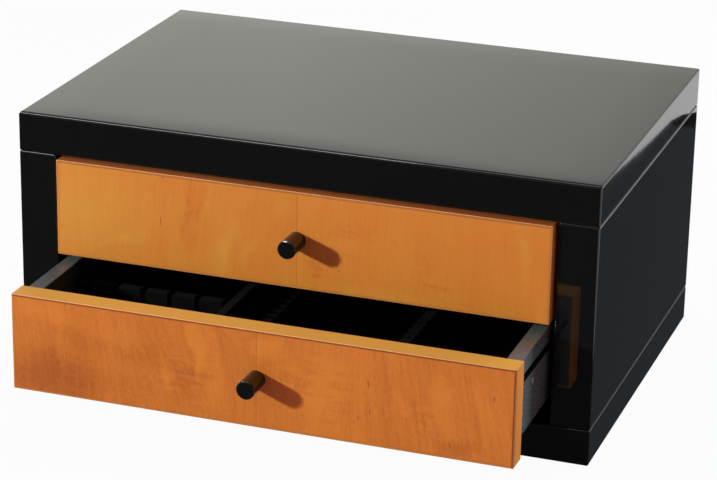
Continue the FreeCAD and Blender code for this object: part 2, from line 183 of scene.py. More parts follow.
def new_graph(name):
    return Graph(bpy.data.materials.new(name))


def lacquer(name, box, colour=(0.0030, 0.0032, 0.0032), peel=1.0, crowned=False):
    """Black polyester lacquer: faint orange peel, polishing haze, dust and rubbed edges.

    A crowned top falls off a little towards its edges, and rolls over along the front, from the polishing.
    """
    g = new_graph(name)
    haze = g.noise(g.stretched((9, 9, 9)), detail=4, roughness=0.6)
    swirl = g.noise(g.stretched((260, 40, 260)), detail=3, roughness=0.7, distortion=0.6)
    dust = g.cells(g.stretched((210, 210, 210)))
    speck = g.span(dust, 0.055, 0.03)
    rare = g.span(g.noise(g.stretched((37, 37, 37)), detail=0), 0.60, 0.68)
    speck = g.math("MULTIPLY", speck, rare)
    edge = g.edge_distance(box)
    ragged = g.noise(g.stretched((70, 70, 70)), detail=3, roughness=0.65)
    reach = g.span(ragged, 0.3, 0.75, 0.0002, 0.0018)
    rubbed = g.math("SUBTRACT", 1, g.math("DIVIDE", edge, reach), clamp=True)
    rubbed = g.math("MULTIPLY", rubbed, 0.55)
    tone = g.mixed(haze, colour, tuple(1.5 * c for c in colour))
    tone = g.mixed(g.math("MULTIPLY", rubbed, 0.35), tone, (0.03, 0.028, 0.026))
    tone = g.mixed(g.math("MULTIPLY", speck, 0.5), tone, (0.09, 0.09, 0.088))
    rough = g.span(haze, 0.3, 0.7, 0.02, 0.045)
    rough = g.math("ADD", rough, g.span(swirl, 0.55, 0.8, 0, 0.015))
    rough = g.math("ADD", rough, g.math("MULTIPLY", rubbed, 0.16))
    rough = g.math("ADD", rough, g.math("MULTIPLY", speck, 0.3), clamp=True)
    ripple = g.noise(g.stretched((130, 130, 130)), detail=2, roughness=0.45)
    normal = g.bump(ripple, 0.00001 * peel, 0.5)
    normal = g.bump(speck, 0.00002, 0.5, normal)
    if crowned:
        x, y, z = g.split(g.place)[0:3]
        from_side = g.math("SUBTRACT", box[1].x, g.math("ABSOLUTE", x))
        from_end = g.math("SUBTRACT", box[1].y, g.math("ABSOLUTE", y))
        on_top = g.math("GREATER_THAN", z, box[1].z - 0.1 * MM)
        off_sides = g.math("GREATER_THAN", from_side, 0.1 * MM)
        edges = ((from_side, on_top, CROWN_WIDTH, CROWN_SLOPE), (from_end, on_top, CROWN_WIDTH, CROWN_SLOPE),
                 (g.math("SUBTRACT", y, box[0].y), off_sides, ROLL_WIDTH, ROLL_SLOPE))
        falls = []
        for inset, mask, width, slope in edges:
            fall = g.math("POWER", g.span(inset, 0, width, 1, 0), 2)
            falls.append(g.math("MULTIPLY", g.math("MULTIPLY", fall, mask), -0.5 * slope * width))
        normal = g.bump(g.total(falls), 1.0, 1.0, normal)
    return g.finish(Base_Color=tone, Roughness=rough, IOR=1.5, Normal=normal)


def fibre(g, along, seed):
    """Long thin grain streaks along one axis, from 0 to 1."""
    size = tuple(520 if axis != along else 14 for axis in range(3))
    return g.noise(g.stretched(size, (seed, -seed, seed)), detail=4, roughness=0.62)


def veneer(name, box, tones, base_level, figure, marks, ripples, arcs, glue, grain, seed):
    """Two leaves of fruitwood veneer under satin varnish, with upright grain and a seam between them.

    The figure is a list of soft patches (x, z, half width, half height, turn in degrees, amount),
    lengths in millimetres. Marks are short dark pin marks and ripples are patches of cross grain.
    Glue tells how dark the line beside the left, right, bottom and top lipping is, and grain how
    strongly the broad figure, the fine streaks and the cross grain show.
    """
    g = new_graph(name)
    red, amber, yellow = tones
    low, high = box
    x, y, z = g.split(g.place)[0:3]
    side = g.span(x, -0.00001, 0.00001)
    shifted = g.math("ADD", x, g.math("MULTIPLY", side, 0.31))
    up = g.math("SUBTRACT", z, (low.z + high.z) / 2)
    lean = g.span(g.noise(g.stretched((8, 1, 1), (seed, 0, 0))), 0.3, 0.7, -0.3, 0.3)
    across = g.math("ADD", shifted, g.math("MULTIPLY", lean, up))
    leaf = g.join(across, y, z)

    def leafy(size, move=0.0):
        return g.stretched(size, (seed + move, move, seed * 0.7 - move), vector=leaf)

    def warp(size, reach, move):
        return g.span(g.noise(g.stretched((size,) * 3, (seed, move, move)), detail=3), 0.2, 0.8, -reach, reach)

    wandering = g.join(g.math("ADD", x, warp(26, 0.013, 1.0)), y, g.math("ADD", z, warp(26, 0.010, 5.0)))

    def patch(at_x, at_z, half_width, half_height, turn=0.0, vector=wandering):
        values = {"Vector": vector, "Location": (at_x * MM, low.y, at_z * MM),
                  "Rotation": (0, math.radians(turn), 0), "Scale": (half_width * MM, 1, half_height * MM)}
        local = g.node_out("ShaderNodeMapping", values, vector_type="TEXTURE")[0]
        fade = g.node_out("ShaderNodeTexGradient", {"Vector": local}, gradient_type="SPHERICAL")["Fac"]
        return g.span(fade, 0, 1, smooth=True)

    broad = g.span(g.noise(leafy((22, 22, 9), 5.5), detail=3, roughness=0.6), 0.3, 0.7, -0.10, 0.10)
    bands = g.span(g.noise(leafy((100, 100, 6), 2.2), detail=3, roughness=0.6), 0.3, 0.7, -0.09, 0.09)
    streak = g.span(g.noise(leafy((300, 300, 14), 7.1), detail=3, roughness=0.6), 0.3, 0.7, -0.10, 0.10)
    fine = g.span(g.noise(leafy((900, 900, 60), 0.4), detail=3, roughness=0.65), 0.3, 0.7, -0.10, 0.10)
    cloud = g.span(g.noise(leafy((330, 330, 260), 9.0), detail=3, roughness=0.7), 0.3, 0.7, -0.12, 0.12)
    cross = g.noise(g.stretched((26, 26, 150), (seed, 0, seed)), detail=3, roughness=0.6, distortion=0.5)
    cross = g.span(cross, 0.36, 0.64, -0.5, 0.5)
    ripple = g.math("MULTIPLY", g.total([patch(*place) for place in ripples]), cross)
    heart_x, heart_z, breadth = (value * MM for value in arcs[:3])
    from_heart = g.math("ABSOLUTE", g.math("SUBTRACT", g.math("ADD", x, warp(40, 0.006, 3.0)), heart_x))
    bowl = g.math("MULTIPLY", g.math("POWER", from_heart, 3), 516)
    ring = g.math("SUBTRACT", g.math("ADD", z, warp(60, 0.003, 8.0)), bowl)
    wave = g.math("SINE", g.math("MULTIPLY", g.math("SUBTRACT", ring, heart_z), 2 * math.pi / 0.011))
    arch = g.math("MULTIPLY", g.span(wave, 0.72, 1.0, smooth=True), g.span(from_heart, breadth, 0.6 * breadth))
    shown = g.span(g.noise(g.stretched((30, 30, 30), (seed, 4, 4))), 0.42, 0.58)
    arch = g.math("MULTIPLY", arch, g.math("MULTIPLY", shown, arcs[3]))

    broad_grain, fine_grain, cross_grain = grain
    parts = [g.math("MULTIPLY", g.total([broad, bands]), broad_grain), arch,
             g.math("MULTIPLY", g.total([streak, fine, cloud]), fine_grain),
             g.math("MULTIPLY", ripple, cross_grain)]
    parts += [g.math("MULTIPLY", patch(*place), amount) for *place, amount in figure]
    level = g.math("ADD", g.total(parts), base_level, clamp=True)
    tone = g.mixed(g.span(level, 0, 0.4), red, amber)
    tone = g.mixed(g.span(level, 0.4, 1), tone, yellow)
    pores = g.noise(leafy((2300, 2300, 240), 4.0), detail=2, roughness=0.6)
    shade = g.math("MULTIPLY", g.span(pores, 0.25, 0.6, 0.955, 1.01), g.span(side, 0, 1, 0.99, 1.01))
    tone = g.scaled(tone, shade)
    dark = g.total([patch(*mark, vector=g.place) for mark in marks])
    tone = g.mixed(g.math("MULTIPLY", dark, 0.9, clamp=True), tone, (0.16, 0.040, 0.012))

    seam = g.span(g.math("ABSOLUTE", x), 0.00012, 0.00032, 1, 0)
    insets = (g.math("SUBTRACT", x, low.x), g.math("SUBTRACT", high.x, x),
              g.math("SUBTRACT", z, low.z), g.math("SUBTRACT", high.z, z))
    waver = g.span(g.noise(g.stretched((90, 90, 90)), detail=2), 0.3, 0.7, 0.00042, 0.00068)
    glued = g.largest([g.math("MULTIPLY", g.math("LESS_THAN", inset, waver), amount)
                       for inset, amount in zip(insets, glue)])
    tone = g.mixed(g.math("MULTIPLY", seam, 0.45), tone, (0.15, 0.045, 0.010))
    tone = g.mixed(glued, tone, GLUE_COLOUR)

    rough = g.span(broad, -0.1, 0.1, 0.36, 0.42)
    rough = g.math("ADD", rough, g.span(pores, 0.25, 0.5, 0.08, 0))
    normal = g.bump(pores, 0.00004, 0.35)
    normal = g.bump(fine, 0.0002, 0.2, normal)
    groove = g.math("MAXIMUM", seam, g.math("MULTIPLY", glued, 0.6))
    normal = g.bump(g.math("SUBTRACT", 1, groove), 0.00008, 0.6, normal)
    return g.finish(Base_Color=tone, Roughness=rough, IOR=1.48, Specular_IOR_Level=0.36, Normal=normal)


def lipping(name, box, veneer_box, light, dark, settled, painted_top_tone, painted_top_share, seed):
    """Solid fruitwood edging. The grain runs along each strip, and the outer arris is a little worn.

    Settled tells how dark the stain lies on the face beside the left, right, bottom and top edge.
    The top strip's top face is mixed towards a tone of its own by a given share: painted light on the lower
    front, painted shade on the upper.
    """
    g = new_graph(name)
    x, y, z = g.split(g.place)[0:3]
    upright = g.math("GREATER_THAN", g.math("ABSOLUTE", x), veneer_box[1].x)
    low, high = veneer_box
    middle_z, half_z = (low.z + high.z) / 2, (high.z - low.z) / 2
    level = g.math("GREATER_THAN", g.math("ABSOLUTE", g.math("SUBTRACT", z, middle_z)), half_z)
    upright = g.math("MULTIPLY", upright, g.math("SUBTRACT", 1, level))

    def both(size_along, size_across, detail, seed_move):
        flat = g.noise(g.stretched((size_along, size_across, size_across), (seed + seed_move,) * 3),
                       detail=detail, roughness=0.6)
        tall = g.noise(g.stretched((size_across, size_across, size_along), (seed - seed_move,) * 3),
                       detail=detail, roughness=0.6)
        made = g.node("ShaderNodeMix", data_type="FLOAT")
        g.put(made.inputs[0], upright)
        g.put(made.inputs[2], flat)
        g.put(made.inputs[3], tall)
        return made.outputs[0]

    streak = both(14, 620, 4, 1.0)
    broad = both(5, 60, 2, 2.0)
    pores = both(150, 2400, 2, 3.0)
    tone = g.mixed(g.span(broad, 0.3, 0.7), dark, light)
    shade = g.math("MULTIPLY", g.span(streak, 0.3, 0.75, 0.88, 1.06), g.span(pores, 0.25, 0.6, 0.9, 1.02))
    tone = g.scaled(tone, shade)
    edge = g.edge_distance(box)
    ragged = g.noise(g.stretched((60, 60, 60), (seed,) * 3), detail=3, roughness=0.65)
    worn = g.math("SUBTRACT", 1, g.math("DIVIDE", edge, g.span(ragged, 0.3, 0.75, 0.0004, 0.0016)), clamp=True)
    # A paler band on the arris chamfer: partly sanded wood, partly a painted highlight.
    arris = g.span(edge, 0.00034, 0.00046, 1, 0)
    tone = g.mixed(g.math("MULTIPLY", arris, 0.55), tone, (0.64, 0.27, 0.115))
    tone = g.mixed(g.math("MULTIPLY", worn, 0.2), tone, (0.70, 0.34, 0.16))
    beside = g.math("MULTIPLY", g.span(edge, 0.00040, 0.00048), g.span(edge, 0.00060, 0.00075, 1, 0))
    tone = g.mixed(g.math("MULTIPLY", beside, 0.6), tone, (0.20, 0.062, 0.022))
    insets = (g.math("SUBTRACT", x, box[0].x), g.math("SUBTRACT", box[1].x, x),
              g.math("SUBTRACT", z, box[0].z), g.math("SUBTRACT", box[1].z, z))
    stain = g.largest([g.math("MULTIPLY", g.math("LESS_THAN", inset, 1.6 * MM), amount)
                       for inset, amount in zip(insets, settled)])
    nearest = g.math("MINIMUM", g.math("MINIMUM", *insets[:2]), g.math("MINIMUM", *insets[2:]))
    stain = g.math("MULTIPLY", stain, g.span(nearest, 0.60 * MM, 0.75 * MM))
    stain = g.math("MULTIPLY", stain, g.math("LESS_THAN", y, box[0].y + 0.05 * MM))
    tone = g.mixed(stain, tone, GLUE_COLOUR)
    # Painted light and shade on the top face of the top strip: a paler, yellower top on the lower front, the
    # shade under the cap on the upper front.
    on_top = g.math("GREATER_THAN", z, box[1].z - 0.05 * MM)
    shown = g.math("MULTIPLY", on_top, g.span(streak, 0.3, 0.7, 0.9 * painted_top_share, painted_top_share))
    tone = g.mixed(shown, tone, painted_top_tone)
    rough = g.math("ADD", g.span(broad, 0.3, 0.7, 0.35, 0.44), g.math("MULTIPLY", worn, 0.15), clamp=True)
    normal = g.bump(pores, 0.00004, 0.35)
    normal = g.bump(streak, 0.00006, 0.3, normal)
    return g.finish(Base_Color=tone, Roughness=rough, IOR=1.48, Specular_IOR_Level=0.36, Normal=normal)


def box_wood(name, box, along, dark=(0.081, 0.107, 0.101), light=(0.090, 0.118, 0.111), seed=0.0,
             gloss=(0.38, 0.26), level=0.5, dull_and_shaded_within=0.0, groove=None):
    """Wood stained dark under satin varnish. The open grain shows in the gloss.

    Faces within the given distance of the middle line are the insides of a box: they are rough, with no
    varnish, and darkened to near black as painted shade.
    Groove gives the lowest and highest level of a runner groove, whose inside is made rougher and darkened to
    near black as painted shade.
    """
    g = new_graph(name)
    grain = fibre(g, along, seed)
    size = tuple(2600 if axis != along else 140 for axis in range(3))
    pores = g.noise(g.stretched(size, (seed + 4,) * 3), detail=2, roughness=0.6)
    cloud = g.noise(g.stretched((18, 18, 18), (seed,) * 3), detail=3)
    tone = g.mixed(g.span(grain, 0.3, 0.72), dark, light)
    tone = g.scaled(tone, g.span(cloud, 0.3, 0.7, 0.88, 1.12))
    edge = g.edge_distance(box)
    ragged = g.noise(g.stretched((80, 80, 80), (seed,) * 3), detail=3, roughness=0.65)
    worn = g.math("SUBTRACT", 1, g.math("DIVIDE", edge, g.span(ragged, 0.35, 0.8, 0.0002, 0.0012)), clamp=True)
    tone = g.mixed(g.math("MULTIPLY", worn, 0.3), tone, (0.10, 0.09, 0.08))
    rough = g.math("ADD", g.span(pores, 0.25, 0.6, *gloss), g.math("MULTIPLY", worn, 0.15), clamp=True)
    # Painted shade: the insides of a box are darkened to near black; they are also rough, with no varnish.
    if dull_and_shaded_within:
        x = g.math("ABSOLUTE", g.split(g.place)[0])
        inside = g.math("LESS_THAN", x, dull_and_shaded_within)
        tone = g.mixed(g.math("MULTIPLY", inside, 0.93), tone, (0.006, 0.006, 0.006))
        rough = g.math("MAXIMUM", rough, g.math("MULTIPLY", inside, 0.8))
    # Painted shade: the inside of the runner groove is darkened to near black and made rougher.
    if groove:
        x, y, z = g.split(g.place)[0:3]
        within = g.math("MULTIPLY", g.math("GREATER_THAN", z, groove[0] - 0.05 * MM),
                        g.math("LESS_THAN", z, groove[1] + 0.05 * MM))
        sunk = g.math("LESS_THAN", g.math("ABSOLUTE", x), max(abs(box[0].x), abs(box[1].x)) - 0.1 * MM)
        dark_in_groove = g.math("MULTIPLY", within, sunk)
        tone = g.mixed(g.math("MULTIPLY", dark_in_groove, 0.97), tone, (0.003, 0.003, 0.003))
        rough = g.math("MAXIMUM", rough, g.math("MULTIPLY", dark_in_groove, 0.6))
    normal = g.bump(pores, 0.00004, 0.3)
    normal = g.bump(grain, 0.00005, 0.3, normal)
    return g.finish(Base_Color=tone, Roughness=rough, IOR=1.5, Specular_IOR_Level=level, Normal=normal)


def raw_wood(name, along, light, dark, seed):
    """Bare beech: fine grain with the short dark rays of that wood."""
    g = new_graph(name)
    grain = fibre(g, along, seed)
    size = tuple(800 if axis != along else 260 for axis in range(3))
    rays = g.span(g.cells(g.stretched(size, (seed,) * 3)), 0.24, 0.1)
    tone = g.mixed(g.span(grain, 0.3, 0.7), dark, light)
    tone = g.mixed(g.math("MULTIPLY", rays, 0.5), tone, tuple(0.55 * c for c in dark))
    normal = g.bump(grain, 0.0001, 0.5)
    rough = g.span(grain, 0.3, 0.7, 0.75, 0.62)
    return g.finish(Base_Color=tone, Roughness=rough, Normal=normal)


def fibreboard(name, seed):
    """The raw core of a drawer front: pressed fibres, with a finer and darker skin."""
    g = new_graph(name)
    chips = g.noise(g.stretched((900, 1500, 900), (seed,) * 3), detail=4, roughness=0.7)
    hair = g.cells(g.stretched((700, 2400, 1100), (seed,) * 3))
    tone = g.mixed(g.span(chips, 0.3, 0.7), (0.27, 0.16, 0.08), (0.46, 0.32, 0.18))
    tone = g.mixed(g.span(hair, 0.3, 0.05, 0, 0.4), tone, (0.16, 0.09, 0.04))
    normal = g.bump(chips, 0.0001, 0.6)
    return g.finish(Base_Color=tone, Roughness=g.span(chips, 0.3, 0.7, 0.9, 0.75), Normal=normal)


def felt(name, colour, seed):
    """Pressed wool felt: matted fibres, lint and a soft nap."""
    g = new_graph(name)
    mat = g.noise(g.stretched((950, 950, 950), (seed,) * 3), detail=5, roughness=0.75, distortion=1.5)
    tuft = g.noise(g.stretched((95, 95, 95), (seed,) * 3), detail=3, roughness=0.6, distortion=0.5)
    lint = g.span(g.cells(g.stretched((330, 330, 330), (seed,) * 3)), 0.06, 0.03)
    tone = g.mixed(g.span(mat, 0.3, 0.7), tuple(0.55 * c for c in colour), tuple(1.6 * c for c in colour))
    tone = g.scaled(tone, g.span(tuft, 0.3, 0.7, 0.75, 1.25))
    tone = g.mixed(g.math("MULTIPLY", lint, 0.3), tone, (0.12, 0.12, 0.12))
    normal = g.bump(mat, 0.0004, 0.8)
    normal = g.bump(tuft, 0.0005, 0.3, normal)
    rough = g.span(mat, 0.3, 0.7, 1.0, 0.88)
    return g.finish(Base_Color=tone, Roughness=rough, Specular_IOR_Level=0.08, Sheen_Weight=0.02,
                    Sheen_Roughness=0.5, Normal=normal)


def flock(name, box, seed):
    """A short black nap over wood, rubbed thin along the edges."""
    g = new_graph(name)
    nap = g.noise(g.stretched((2100, 2100, 2100), (seed,) * 3), detail=3, roughness=0.7)
    brushed = g.noise(g.stretched((60, 25, 60), (seed,) * 3), detail=3, distortion=0.8)
    tone = g.mixed(g.span(nap, 0.3, 0.7), (0.0013, 0.0014, 0.0014), (0.0036, 0.0038, 0.0038))
    tone = g.scaled(tone, g.span(brushed, 0.3, 0.7, 0.7, 1.35))
    edge = g.edge_distance(box)
    worn = g.math("SUBTRACT", 1, g.math("DIVIDE", edge, g.span(brushed, 0.3, 0.8, 0.0003, 0.0016)), clamp=True)
    tone = g.mixed(g.math("MULTIPLY", worn, 0.3), tone, (0.016, 0.015, 0.015))
    normal = g.bump(nap, 0.0002, 0.8)
    rough = g.span(nap, 0.3, 0.7, 1.0, 0.85)
    return g.finish(Base_Color=tone, Roughness=rough, Specular_IOR_Level=0.03, Sheen_Weight=0.01,
                    Sheen_Roughness=0.45, Normal=normal)


def plated_steel(name, seed, light=(0.66, 0.65, 0.61), dark=(0.47, 0.48, 0.50)):
    """Plated steel with a mottled passivated skin and turning marks."""
    g = new_graph(name)
    spangle = g.noise(g.stretched((420, 420, 420), (seed,) * 3), detail=3, roughness=0.6)
    turned = g.noise(g.stretched((1600, 160, 1600), (seed,) * 3), detail=2)
    tone = g.mixed(g.span(spangle, 0.3, 0.7), dark, light)
    rough = g.math("ADD", g.span(spangle, 0.3, 0.7, 0.24, 0.40), g.span(turned, 0.4, 0.7, 0, 0.08), clamp=True)
    normal = g.bump(turned, 0.00005, 0.4)
    return g.finish(Base_Color=tone, Metallic=1.0, Roughness=rough, Normal=normal)


def cam_face(name, box, seed):
    """A connector's face, enamelled like the wood round it, with a bright rim and a bright round centre at the
    driver cross, partly bare metal and partly a painted highlight.
    """
    g = new_graph(name)
    middle = (box[0] + box[1]) / 2
    y, z = g.split(g.vector("SUBTRACT", g.place, (0, middle.y, middle.z)))[1:3]
    radius = g.math("SQRT", g.math("ADD", g.math("MULTIPLY", y, y), g.math("MULTIPLY", z, z)))
    scratch = g.noise(g.stretched((900, 300, 900), (seed,) * 3), detail=3, roughness=0.6)
    ragged = g.span(scratch, 0.3, 0.7, -0.15 * MM, 0.15 * MM)
    outer = (box[1].z - box[0].z) / 2
    rim = g.span(g.math("ADD", radius, ragged), outer - 0.35 * MM, outer - 0.15 * MM)
    cross = g.span(g.math("ADD", radius, ragged), 2.6 * MM, 2.2 * MM)
    # The bright rim and centre: partly bare metal, partly a painted highlight.
    bare_metal_and_glint = g.math("MAXIMUM", g.math("MULTIPLY", rim, 0.35), cross)
    enamel = g.mixed(g.span(scratch, 0.3, 0.7), (0.068, 0.082, 0.083), (0.080, 0.095, 0.097))
    tone = g.mixed(bare_metal_and_glint, enamel, (0.62, 0.64, 0.63))
    rough = g.span(scratch, 0.3, 0.7, 0.28, 0.42)
    return g.finish(Base_Color=tone, Roughness=rough, Metallic=g.math("MULTIPLY", bare_metal_and_glint, 0.4),
                    Normal=g.bump(scratch, 0.00003, 0.4))


def moulded(name, light, dark, rough, seed):
    """A small moulded piece in nylon or rubber with a fine matt skin."""
    g = new_graph(name)
    skin = g.noise(g.stretched((1500, 1500, 1500), (seed,) * 3), detail=3, roughness=0.6)
    flow = g.noise(g.stretched((140, 60, 140), (seed,) * 3), detail=2, distortion=1.0)
    tone = g.mixed(g.span(flow, 0.3, 0.7), dark, light)
    normal = g.bump(skin, 0.00006, 0.5)
    return g.finish(Base_Color=tone, Roughness=g.span(skin, 0.3, 0.7, rough, rough + 0.12), Normal=normal)


def knob_lacquer(name, box, seed):
    """Black gloss lacquer on turned wood: faint rings, polish marks and a worn rim."""
    g = new_graph(name)
    low, high = box
    middle = Vector(((low.x + high.x) / 2, 0, (low.z + high.z) / 2))
    x, y, z = g.split(g.vector("SUBTRACT", g.place, tuple(middle)))[0:3]
    radius = g.math("SQRT", g.math("ADD", g.math("MULTIPLY", x, x), g.math("MULTIPLY", z, z)))
    rings = g.noise(g.join(g.math("MULTIPLY", radius, 2600), g.math("MULTIPLY", y, 1500), seed), detail=2)
    haze = g.noise(g.stretched((160, 160, 160), (seed,) * 3), detail=3, roughness=0.6)
    rim = g.math("ADD", g.math("SUBTRACT", high.x - middle.x, radius), g.math("SUBTRACT", y, low.y))
    worn = g.math("MULTIPLY", g.span(rim, 0.0011, 0.0004), g.span(haze, 0.4, 0.6))
    tone = g.mixed(haze, (0.003, 0.003, 0.003), (0.005, 0.005, 0.005))
    tone = g.mixed(g.math("MULTIPLY", worn, 0.3), tone, (0.05, 0.045, 0.04))
    rough = g.math("ADD", g.span(haze, 0.3, 0.7, 0.05, 0.10), g.math("MULTIPLY", worn, 0.12), clamp=True)
    normal = g.bump(rings, 0.00001, 0.5)
    return g.finish(Base_Color=tone, Roughness=rough, IOR=1.5, Normal=normal)


# Dressing the CAD nodes


def wear(name, material):
    """Gives one CAD node its finish."""
    slots = nodes[name].data.materials
    slots.clear()
    slots.append(material)


def dress_case():
    for name in ("top_cap", "base_slab", "left_panel", "right_panel"):
        wear(name, lacquer("lacquer_" + name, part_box(name), crowned=name == "top_cap"))
    wear("back_panel", lacquer("lacquer_back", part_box("back_panel"), (0.009, 0.009, 0.0092), 1.6))
    beech = raw_wood("beech_upright", 2, (0.66, 0.47, 0.27), (0.48, 0.31, 0.16), 0.3)
    for name in ("cap_dowels", "base_dowels"):
        wear(name, beech)
    wear("stop_pegs", raw_wood("beech_peg", 0, (0.62, 0.45, 0.27), (0.45, 0.30, 0.16), 3.3))
    zinc = plated_steel("zinc_plate", 1.5)
    for name in ("base_screws", "back_screws", "runner_screws"):
        wear(name, zinc)
    wear("rear_bumpers", moulded("bumper_rubber", (0.035, 0.035, 0.036), (0.02, 0.02, 0.02), 0.6, 5.0))
    for drawer in DRAWERS:
        for side in ("left", "right"):
            name = f"{drawer}_{side}_runner"
            wear(name, box_wood("waxed_" + name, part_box(name), 1, (0.006, 0.006, 0.006),
                                (0.012, 0.011, 0.010), 2.0))


VENEER_TONES = ((0.355, 0.094, 0.0145), (0.570, 0.186, 0.0240), (0.590, 0.262, 0.035))
VENEER_LEVEL = {"lower": 0.30, "upper": 0.55}
GLUE_COLOUR = (0.13, 0.030, 0.014)
GLUE = {"lower": (0.25, 0.30, 0.25, 0.25), "upper": (0.25, 0.30, 0.25, 0.40)}
SETTLED = {"lower": (0.30, 0.90, 0.25, 0.85), "upper": (0.15, 0.30, 0.15, 0.45)}
FIGURE = {
    "lower": [
        (-165, 44, 95, 34, 0, -0.255), (-100, 73, 130, 12, 5, -0.10), (-172, 94, 50, 14, 0, 0.09),
        (-46, 84, 5, 34, -3, 0.255), (-70, 60, 9, 24, 0, 0.165), (-31, 56, 12, 20, 0, 0.09),
        (9, 92, 15, 18, 0, 0.21), (137, 72, 8, 40, -8, 0.18), (166, 62, 10, 44, -18, 0.12),
        (-96, 58, 24, 26, 0, -0.05), (150, 38, 20, 9, 0, -0.165), (45, 66, 40, 40, 0, 0.09),
    ],
    "upper": [
        (-168, 150, 100, 62, 0, 0.345), (-140, 128, 30, 8, 0, 0.18), (-71, 167, 6, 26, 6, 0.27),
        (-57, 128, 9, 34, 10, 0.33), (-35, 132, 9, 34, 14, 0.255), (-86, 150, 13, 50, 0, -0.255),
        (-108, 122, 10, 24, 0, -0.112), (-11, 172, 8, 16, 0, 0.18), (42, 156, 20, 4, 3, -0.14),
        (14, 121, 13, 8, -10, -0.12), (112, 124, 20, 6, 0, -0.08), (105, 150, 26, 28, 0, -0.05),
        (165, 166, 8, 24, 0, 0.225), (148, 146, 26, 44, 0, -0.04), (184, 140, 14, 50, 0, -0.05),
        (64, 111, 70, 10, 0, 0.22), (-84, 122, 40, 12, 0, 0.12),
    ],
}
MARKS = {
    "lower": [(84.5, 77.5, 0.9, 4.4, -6), (86, 56, 0.7, 3.4, 0), (145.5, 40.5, 0.9, 3.6, -12),
              (177, 80.5, 0.7, 3.6, 0), (77.5, 50, 0.7, 3.0, -4), (-156, 56, 1.0, 1.6, 0)],
    "upper": [(-108, 145.5, 0.6, 5.5, 2), (-106, 180, 0.8, 1.6, 0), (33, 126.5, 0.7, 1.6, 0)],
}
RIPPLES = {
    "lower": [(50, 66, 42, 46), (-50, 60, 40, 36), (120, 58, 26, 20)],
    "upper": [(45, 150, 40, 24), (15, 122, 22, 14), (112, 126, 34, 22), (-140, 130, 30, 16)],
}
ARCS = {"lower": (-132, 44, 42, 0.05), "upper": (-153, 134, 62, 0.13)}
GRAIN = {"lower": (0.50, 0.60, 0.30), "upper": (0.70, 0.80, 0.32)}
LIPPING_TONES = ((0.66, 0.285, 0.050), (0.58, 0.225, 0.038))
# Tones painted on the top face of each top lipping, and how much of each shows: painted light (a paler,
# yellower top) on the lower front, painted shade (the shade under the cap) on the upper front.
PAINTED_TOP_LIGHT_AND_SHADE = {"lower": ((0.53, 0.345, 0.050), 0.85), "upper": ((0.30, 0.045, 0.024), 0.65)}


def dress_drawer(drawer):
    seed = 2.0 + 5.0 * DRAWERS.index(drawer)
    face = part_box(drawer + "_front_veneers")
    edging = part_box(drawer + "_front_lippings")
    wear(drawer + "_front_veneers",
         veneer("veneer_" + drawer, face, VENEER_TONES, VENEER_LEVEL[drawer],
                FIGURE[drawer], MARKS[drawer], RIPPLES[drawer], ARCS[drawer], GLUE[drawer],
                GRAIN[drawer], seed))
    wear(drawer + "_front_lippings",
         lipping("lipping_" + drawer, edging, face, *LIPPING_TONES, SETTLED[drawer],
                 *PAINTED_TOP_LIGHT_AND_SHADE[drawer], seed))
    wear(drawer + "_front_core", fibreboard("fibreboard_" + drawer, seed))
    wear(drawer + "_front_backing",
         box_wood(f"backing_{drawer}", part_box(drawer + "_front_backing"), 2, seed=seed))
    inner = abs(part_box(drawer + "_left_side")[1].x) + 0.05 * MM
    for part in ("left_side", "right_side"):
        name = f"{drawer}_{part}"
        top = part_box(name)[1].z - GROOVE_DROP
        wear(name, box_wood("black_" + name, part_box(name), 1, seed=seed, dull_and_shaded_within=inner,
                            groove=(top - GROOVE_HEIGHT, top)))
    for part, along in (("box_back", 0), ("box_bottom", 0)):
        name = f"{drawer}_{part}"
        wear(name, box_wood("black_" + name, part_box(name), along, (0.007, 0.007, 0.0072),
                            (0.014, 0.014, 0.0145), seed, gloss=(0.62, 0.5), level=0.1))
    for part in ("long_divider", "handle_rack", "neck_rack", "front_knife_rack", "rear_knife_rack"):
        name = f"{drawer}_{part}"
        wear(name, flock("flock_" + name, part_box(name), seed))
    wear(drawer + "_front_dowels", raw_wood("dowel_front_" + drawer, 1, (0.66, 0.47, 0.27),
                                            (0.48, 0.31, 0.16), seed))
    wear(drawer + "_back_dowels", raw_wood("dowel_back_" + drawer, 0, (0.66, 0.47, 0.27),
                                           (0.48, 0.31, 0.16), seed))
    zinc = plated_steel("zinc_" + drawer, seed)
    for part in ("cam_bolts", "knob_screw"):
        wear(f"{drawer}_{part}", zinc)
    wear(drawer + "_cams", cam_face("cam_" + drawer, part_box(drawer + "_cams"), seed))
    wear(drawer + "_stop_pins", moulded("nylon_" + drawer, (0.76, 0.75, 0.70), (0.68, 0.66, 0.61), 0.4, seed))
    wear(drawer + "_knob", knob_lacquer("lacquer_knob_" + drawer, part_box(drawer + "_knob"), seed))


# Felt


